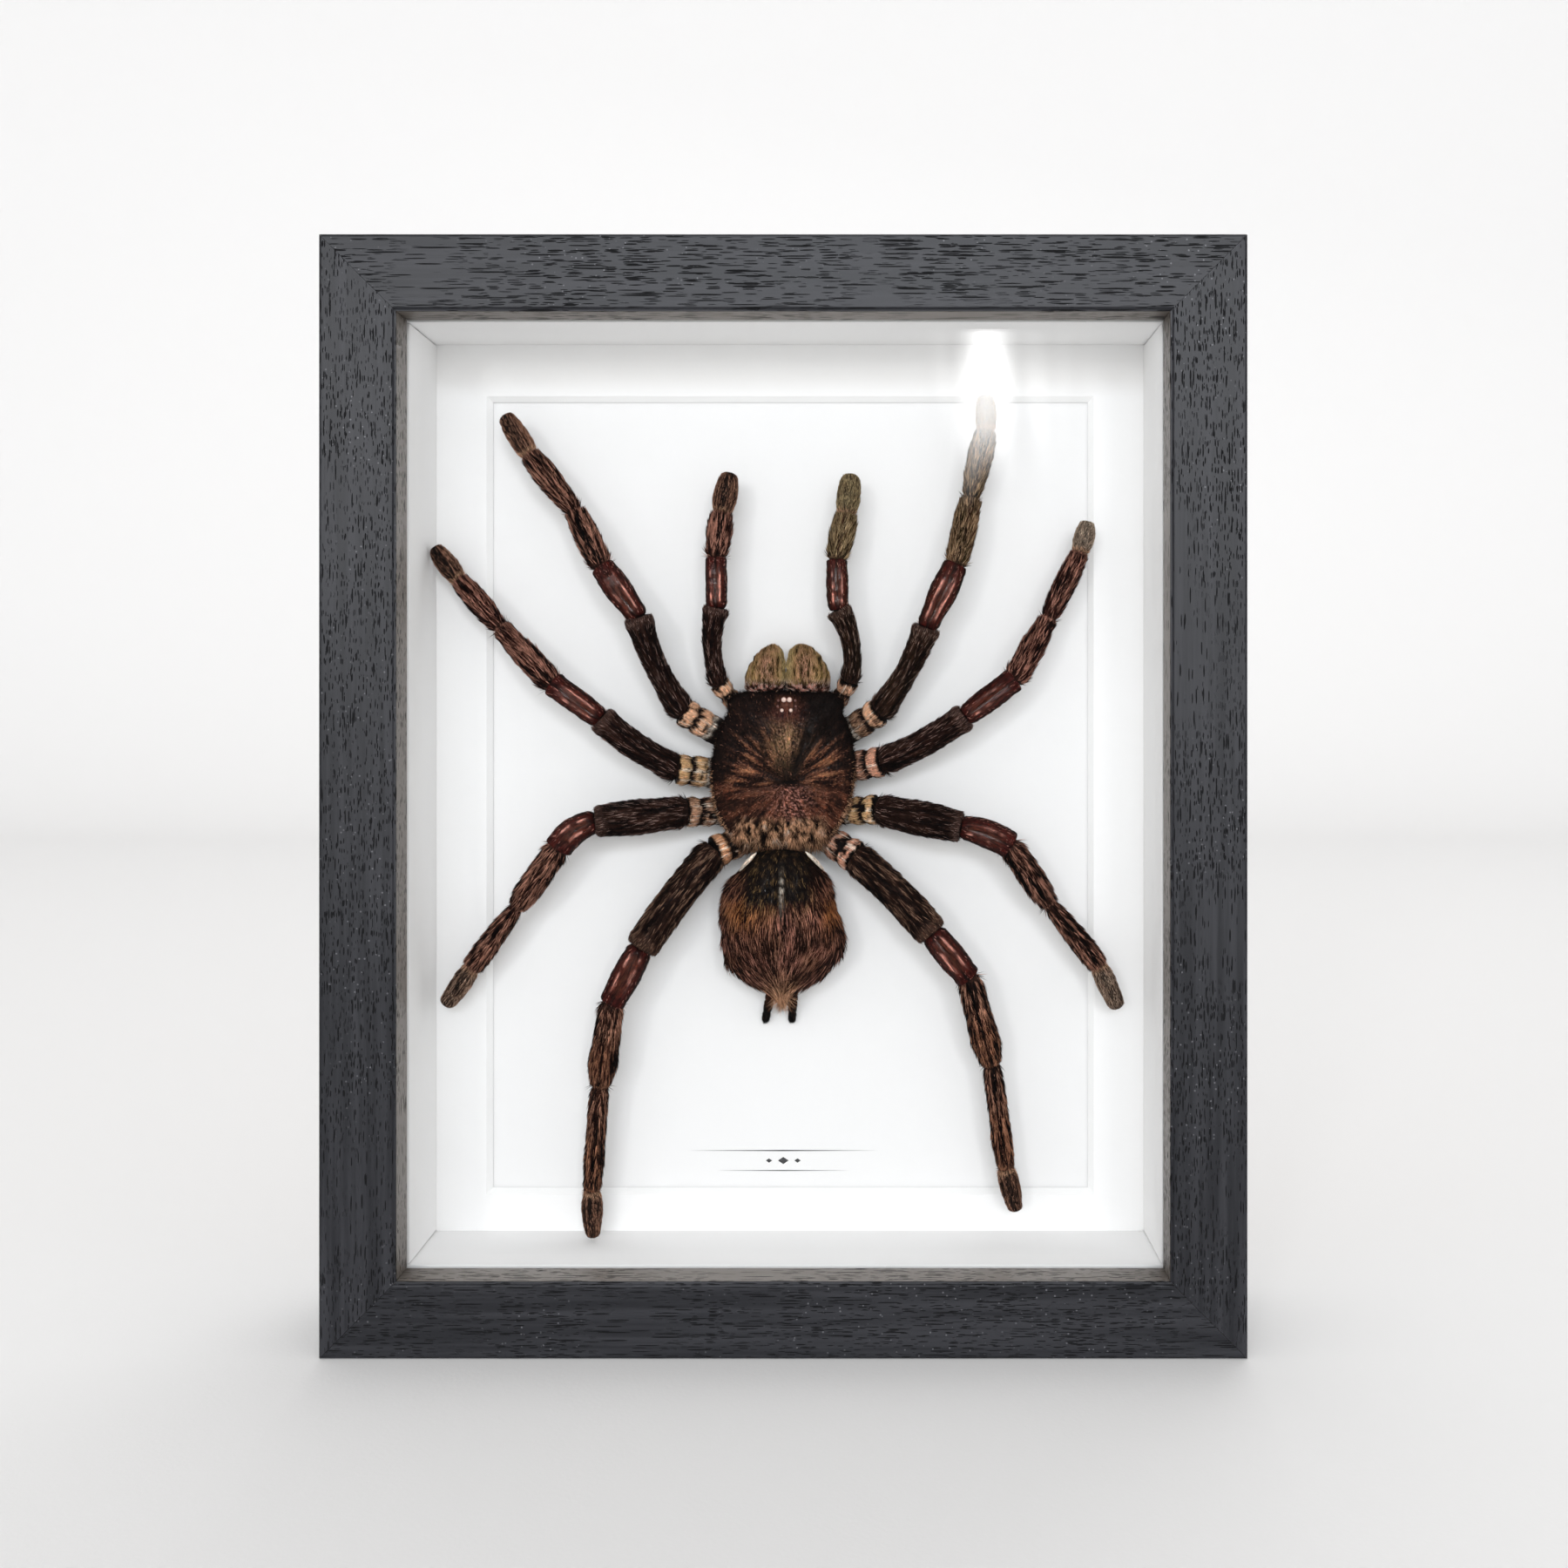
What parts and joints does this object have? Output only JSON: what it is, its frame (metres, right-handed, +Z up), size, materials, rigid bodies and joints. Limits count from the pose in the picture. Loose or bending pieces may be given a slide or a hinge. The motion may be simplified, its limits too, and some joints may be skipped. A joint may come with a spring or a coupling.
{
  "type": "framed tarantula specimen",
  "caption": "Dried bird-eating spider fixed on white board behind glass in a deep dark-stained wooden box frame, with a bevelled window mat, standing on its bottom edge.",
  "frame": {"origin": "middle of the frame's bottom edge, halfway through the frame's depth", "axes": "+Z up the frame, the glass faces -Y, +X to the right of someone facing the glass"},
  "size_m": [0.237, 0.0473, 0.287],
  "materials": {
    "stained_wood": "open-grain wood, charcoal stain, satin",
    "clear_glass": "clear float glass",
    "white_card": "matt white card",
    "fibreboard": "raw fibreboard",
    "bright_steel": "zinc-plated strip",
    "dark_cuticle": "dried cuticle under short dark brown hair",
    "olive_hair": "dense olive-gold hair"
  },
  "bodies": {
    "root": {"rail_top": "stained_wood", "rail_bottom": "stained_wood", "rail_left": "stained_wood", "rail_right": "stained_wood", "glass": "clear_glass", "spacer_top": "white_card", "spacer_bottom": "white_card", "spacer_left": "white_card", "spacer_right": "white_card", "mat": "white_card", "specimen_board": "white_card", "back_panel": "fibreboard", "point_bottom_1": "bright_steel", "point_bottom_2": "bright_steel", "point_top_1": "bright_steel", "point_top_2": "bright_steel", "point_left_1": "bright_steel", "point_left_2": "bright_steel", "point_right_1": "bright_steel", "point_right_2": "bright_steel", "hanger": "bright_steel", "nail_left": "bright_steel", "nail_right": "bright_steel", "cephalothorax": "dark_cuticle", "abdomen": "dark_cuticle", "chelicera_left": "olive_hair", "chelicera_right": "olive_hair", "palp_left": "dark_cuticle", "palp_right": "dark_cuticle", "leg_left_1": "dark_cuticle", "leg_left_2": "dark_cuticle", "leg_left_3": "dark_cuticle", "leg_left_4": "dark_cuticle", "leg_right_1": "dark_cuticle", "leg_right_2": "dark_cuticle", "leg_right_3": "dark_cuticle", "leg_right_4": "dark_cuticle", "spinneret_left": "dark_cuticle", "spinneret_right": "dark_cuticle"}
  },
  "joints": []
}
